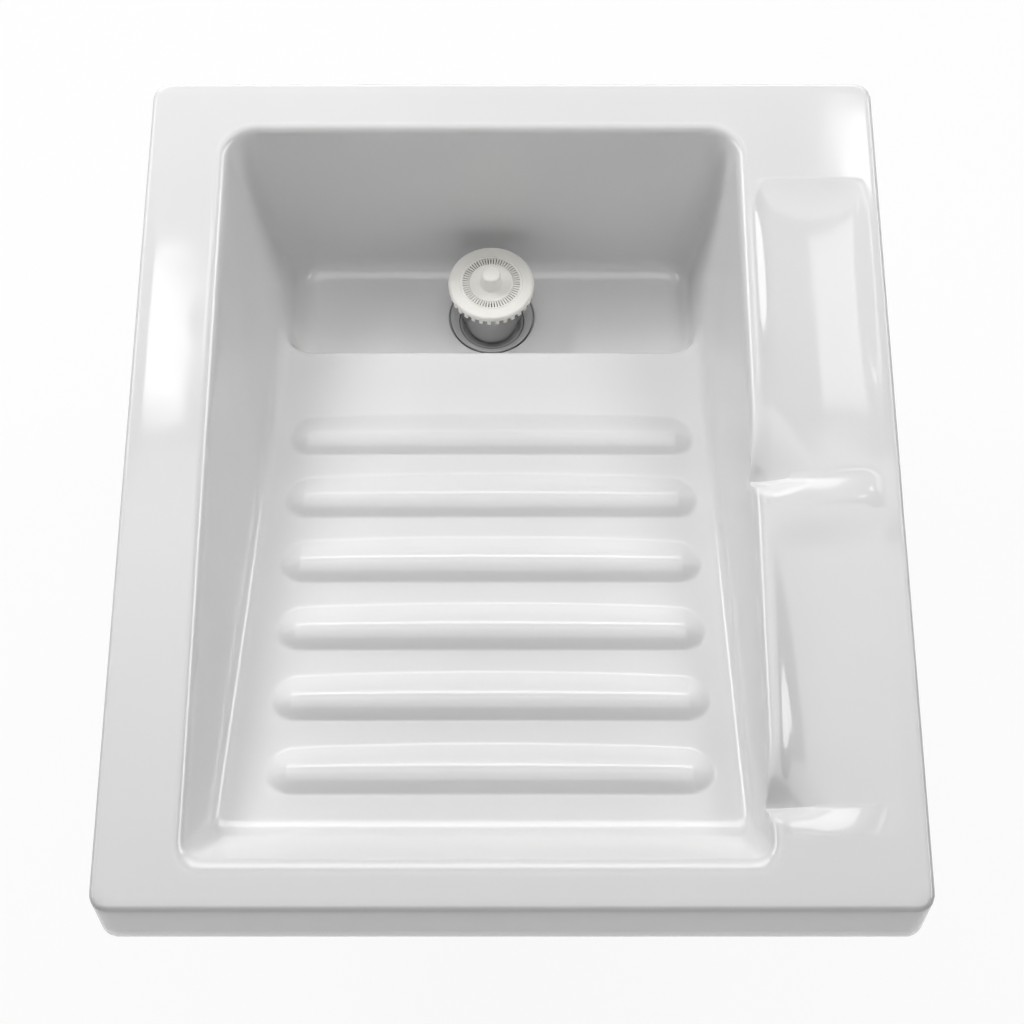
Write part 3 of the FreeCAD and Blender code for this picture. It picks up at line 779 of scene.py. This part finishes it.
# Strainer cap: a cream plastic moulding, a shallow dished disc with sixty fine slots, a scored ring
# outside them, and a skirt of short legs under its rounded rim that lets water in.
slot_turn, slot_share, slot_inner, slot_outer = 360 / 60, 0.38, 15.7, 20.9
leg_turn, gap_share, leg_radius = 360 / 32, 0.53, 30.7
cap_radius, cap_wall, cap_sides = 31.0, 2.4, 480
low, high = levels("strainer_cap")
cap_under = levels("basket_cup")[1]

cream = worn_finish(
    "cream_plastic", scales=(40.0, 800.0),
    tints=((0.3, (0.88, 0.865, 0.82)), (0.7, (0.93, 0.915, 0.87))),
    roughness=(0.3, 0.42), relief=(0.12, 0.00005),
)
cap = turned("slotted_cap", [
    (stem_hole, high - 0.8), (8.5, high - 0.8), (13.7, high - 0.8), (14.3, high - 0.68), (14.8, high - 0.3),
    (15.2, high - 0.06), (slot_inner, high), (slot_outer, high), (21.8, high), (22.05, high - 0.4),
    (22.35, high - 0.4), (22.6, high), (26.0, high), (28.8, high - 0.03), (29.6, high - 0.25),
    (30.3, high - 0.75), (30.8, high - 1.5), (cap_radius, high - 2.3), (cap_radius, cap_under - 0.3),
    (leg_radius, cap_under - 0.5), (leg_radius, low),
], cap_sides)
pick_faces(cap, lambda r, turn, z: (
    (r > slot_inner) & (r < slot_outer) & (turn % slot_turn < slot_share * slot_turn)
    | (z < cap_under - 0.6) & (turn % leg_turn < gap_share * leg_turn)
))
bpy.ops.mesh.delete(type="FACE")
bpy.ops.object.mode_set(mode="OBJECT")
bpy.ops.object.modifier_add(type="SOLIDIFY")
wall = cap.modifiers[-1]
wall.thickness = cap_wall / 1000
wall.offset = -1
bpy.ops.object.modifier_apply(modifier=wall.name)
bpy.ops.object.shade_smooth_by_angle(angle=math.radians(35))
hand_over(cap, "strainer_cap", "strainer", cream)

# Strainer knob: a small waisted pull moulded of the same cream plastic, with a hole for the stem.
# It is screwed on the stem, down to the cap.
low, high = levels("strainer_knob")
pole = 0.004
knob = turned("pull_knob", [
    (pole, low + 9.0), (stem_hole, low + 9.0), (stem_hole, low), (8.05, low), (8.0, low + 0.25),
    (7.45, low + 0.6), (7.1, low + 1.4), (6.8, low + 3.2), (6.6, low + 6.0), (6.65, low + 8.4),
    (6.85, low + 10.2), (6.9, low + 11.0), (6.75, low + 11.7), (6.4, low + 12.25), (5.8, low + 12.65),
    (5.0, low + 12.88), (3.6, low + 12.97), (pole, high),
], 64)
bpy.ops.object.shade_smooth_by_angle(angle=math.radians(50))
hand_over(knob, "strainer_knob", "strainer", cream)

# Stem: a turned steel rod that ties the strainer together. It runs through knob, cap and cup, with a
# collar under the cup and a thread below it for the stopper's nut.
low, high = levels("strainer_stem")
cup_low = levels("basket_cup")[0]
stopper_low, stopper_high = levels("stopper_seal")
stem_radius, screw_radius, collar_radius, stem_chamfer = 3.0, 2.5, 6.0, 0.4
screw_pitch, screw_depth = 0.9, 0.3
section = [(pole, high), (stem_radius - stem_chamfer, high), (stem_radius, high - stem_chamfer)]
section += [(stem_radius, cup_low), (collar_radius, cup_low)]
section += [(collar_radius, stopper_high), (screw_radius, stopper_high)]
section += thread(screw_radius, stopper_low, low + stem_chamfer, screw_pitch, screw_depth)
section += [(screw_radius - stem_chamfer, low), (pole, low)]
stem = turned("pull_stem", section, 48)
soften(stem, 0.12)
hand_over(stem, "strainer_stem", "strainer", steel)

# Grip ring: a ring moulded of grey rubber and rolled over the cup. It rubs in the drain and holds the
# strainer at the height where it is left.
grey_rubber = rubber.copy()
grey_rubber.name = "grey_rubber"
tint = grey_rubber.node_tree.nodes["Color Ramp"]
tint.color_ramp.elements[0].color = (0.30, 0.30, 0.295, 1)
tint.color_ramp.elements[1].color = (0.40, 0.40, 0.39, 1)

low, high = levels("grip_ring")
grip_radius = 23.7
section = [
    (cup_radius, low + 0.3), (grip_radius - 0.9, low + 0.3), (grip_radius - 0.25, low + 0.7),
    (grip_radius, low + 1.5), (grip_radius - 0.25, low + 2.3), (grip_radius - 0.9, low + 2.7),
    (cup_radius, low + 2.7),
]
grip = turned("cup_grip_ring", section + section[:1], 72)
bpy.ops.object.shade_smooth_by_angle(angle=math.radians(50))
hand_over(grip, "grip_ring", "strainer", grey_rubber)

# Stopper: a tapered disc moulded of black rubber, which closes the drain when the strainer is pushed
# down. A steel washer and a hexagon nut hold it on the stem.
screw_hole = screw_radius + 0.1
section = [
    (screw_hole, stopper_low), (19.0, stopper_low), (20.0, stopper_low + 0.3), (22.3, stopper_high - 1.2),
    (22.5, stopper_high - 0.5), (22.2, stopper_high), (screw_hole, stopper_high),
]
stopper = turned("stopper_disc", section + section[:1], 72)
soften(stopper, 0.3)
hand_over(stopper, "stopper_seal", "strainer", rubber)

washer_radius = 9.0
low, high = levels("stem_washer")
section = [(screw_hole, low), (washer_radius, low), (washer_radius, high), (screw_hole, high)]
washer = turned("stopper_washer", section + section[:1], 48)
soften(washer, 0.2)
hand_over(washer, "stem_washer", "strainer", steel)

stem_nut_radius, stem_nut_face = 5.0, 4.2
low, high = levels("stem_nut")
section = [
    (screw_hole, low), (stem_nut_face, low), (stem_nut_radius, low + 0.5),
    (stem_nut_radius, high - 0.5), (stem_nut_face, high), (screw_hole, high),
]
stem_nut = turned("stopper_nut", section + section[:1], 48)
cut_to_hexagon(stem_nut, stem_nut_radius, low, high)
soften(stem_nut, 0.12)
hand_over(stem_nut, "stem_nut", "strainer", steel)

# Studio: a pale paper floor in a white surround. Soft boxes light the sink, most of them out of sight
# of its gloss, and panels and windows lay the highlights on the gloss, most of them without lighting it.
paper_z, white_share = -0.2605, 0.93
bpy.ops.object.select_all(action="DESELECT")
bpy.ops.mesh.primitive_plane_add(size=12, location=(0, 0, paper_z))
floor = bpy.context.object
floor.name = "studio_floor"
paper, nodes, links, out = new_material("white_paper")
sheet = nodes.new("ShaderNodeBsdfDiffuse")
sheet.inputs["Color"].default_value = (0.9, 0.9, 0.9, 1)
glow = nodes.new("ShaderNodeEmission")


def seen_or_mirrored(nodes, links):
    # One for what the camera sees, straight, in a gloss or through a clear piece, and nought for light.
    ray = nodes.new("ShaderNodeLightPath")
    either = nodes.new("ShaderNodeMath")
    either.operation = "MAXIMUM"
    links.new(ray.outputs["Is Camera Ray"], either.inputs[0])
    links.new(ray.outputs["Is Glossy Ray"], either.inputs[1])
    any_of_them = nodes.new("ShaderNodeMath")
    any_of_them.operation = "MAXIMUM"
    links.new(either.outputs[0], any_of_them.inputs[0])
    links.new(ray.outputs["Is Transmission Ray"], any_of_them.inputs[1])
    return any_of_them.outputs[0]


share = nodes.new("ShaderNodeMath")
share.operation = "MULTIPLY"
share.inputs[1].default_value = white_share
links.new(seen_or_mirrored(nodes, links), share.inputs[0])
blend = nodes.new("ShaderNodeMixShader")
links.new(share.outputs[0], blend.inputs["Fac"])
links.new(sheet.outputs[0], blend.inputs[1])
links.new(glow.outputs[0], blend.inputs[2])
# From below the paper is clear, so that the underside can be seen.
side = nodes.new("ShaderNodeNewGeometry")
clear = nodes.new("ShaderNodeBsdfTransparent")
faced = nodes.new("ShaderNodeMixShader")
links.new(side.outputs["Backfacing"], faced.inputs["Fac"])
links.new(blend.outputs[0], faced.inputs[1])
links.new(clear.outputs[0], faced.inputs[2])
links.new(faced.outputs[0], out.inputs[0])
floor.data.materials.append(paper)
floor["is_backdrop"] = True

world = bpy.data.worlds.new("studio")
bpy.context.scene.world = world
world.use_nodes = True
nodes, links = world.node_tree.nodes, world.node_tree.links
nodes["Background"].inputs["Color"].default_value = (1, 1, 1, 1)
links.new(seen_or_mirrored(nodes, links), nodes["Background"].inputs["Strength"])


def soft_box(name, place, aim, width, length, power):
    # A flat lamp that faces a point, with its sizes in metres and its power in watts.
    bpy.ops.object.light_add(type="AREA", location=place)
    lamp = bpy.context.object
    lamp.name = name
    lamp.data.shape = "RECTANGLE"
    lamp.data.size = width
    lamp.data.size_y = length
    lamp.data.energy = power
    x, y, z = (a - p for a, p in zip(aim, place))
    tilt = math.acos(z / -math.sqrt(x * x + y * y + z * z))
    lamp.rotation_euler = (tilt, 0, math.atan2(y, x) - math.pi / 2)
    return lamp


soft_box("far_soft_box", (0.0, 2.3, 0.8), (0, 0.05, 0), 1.8, 0.5, 13.5).visible_glossy = False
soft_box("near_soft_box", (0.0, -2.3, 0.6), (0, 0.05, 0), 2.0, 1.0, 3.6)
soft_box("apron_soft_box", (0.0, -2.3, 0.14), (0, 0.05, 0), 2.0, 0.4, 6.5).visible_glossy = False
soft_box("top_soft_box", (0.0, 0.1, 2.6), (0, 0.1, 0), 1.8, 1.8, 18.8).visible_glossy = False
soft_box("left_soft_box", (-0.9, 0.8, 1.1), (0, 0.2, 0), 0.5, 0.5, 12.5).visible_glossy = False
soft_box("right_soft_box", (0.9, 0.8, 1.1), (0, 0.2, 0), 0.5, 0.5, 7.5).visible_glossy = False
soft_box("top_panel", (0.0, 0.0, 2.5), (0.0, 0.0, 0), 2.6, 4.0, 58.0).visible_diffuse = False
soft_box("far_panel", (0.0, 2.3, 1.0), (0, 0.05, 0), 2.4, 0.85, 19.0).visible_diffuse = False
soft_box("left_panel", (-1.5, 0.5, 0.75), (0, 0.05, 0), 1.8, 0.45, 15.0).visible_diffuse = False
soft_box("right_panel", (1.5, 0.5, 0.75), (0, 0.05, 0), 1.8, 0.45, 15.0).visible_diffuse = False
soft_box("left_window", (-0.49, 1.03, 1.6), (-0.49, 1.03, 0), 0.26, 0.07, 0.4)
soft_box("right_window", (0.52, 1.345, 1.6), (0.52, 1.345, 0), 0.15, 0.12, 0.35)
soft_box("tray_window", (0.04, 1.745, 2.65), (0.04, 1.745, 0), 0.37, 1.08, 3.3).visible_diffuse = False

# Camera: before the near side and well above it, with a long lens. It looks down steeply into the
# basin, as in the photo.
eye_y, eye_z, aim_y, aim_z = -0.748, 1.448, -0.0369, 0.052
bpy.ops.object.camera_add(location=(0, eye_y, eye_z))
camera = bpy.context.object
camera.rotation_euler = (math.atan2(aim_y - eye_y, eye_z - aim_z), 0, 0)
camera.data.lens = 86.6
camera.data.sensor_width = 36.0
bpy.context.scene.camera = camera
bpy.context.scene.view_settings.view_transform = "Standard"

low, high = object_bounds()
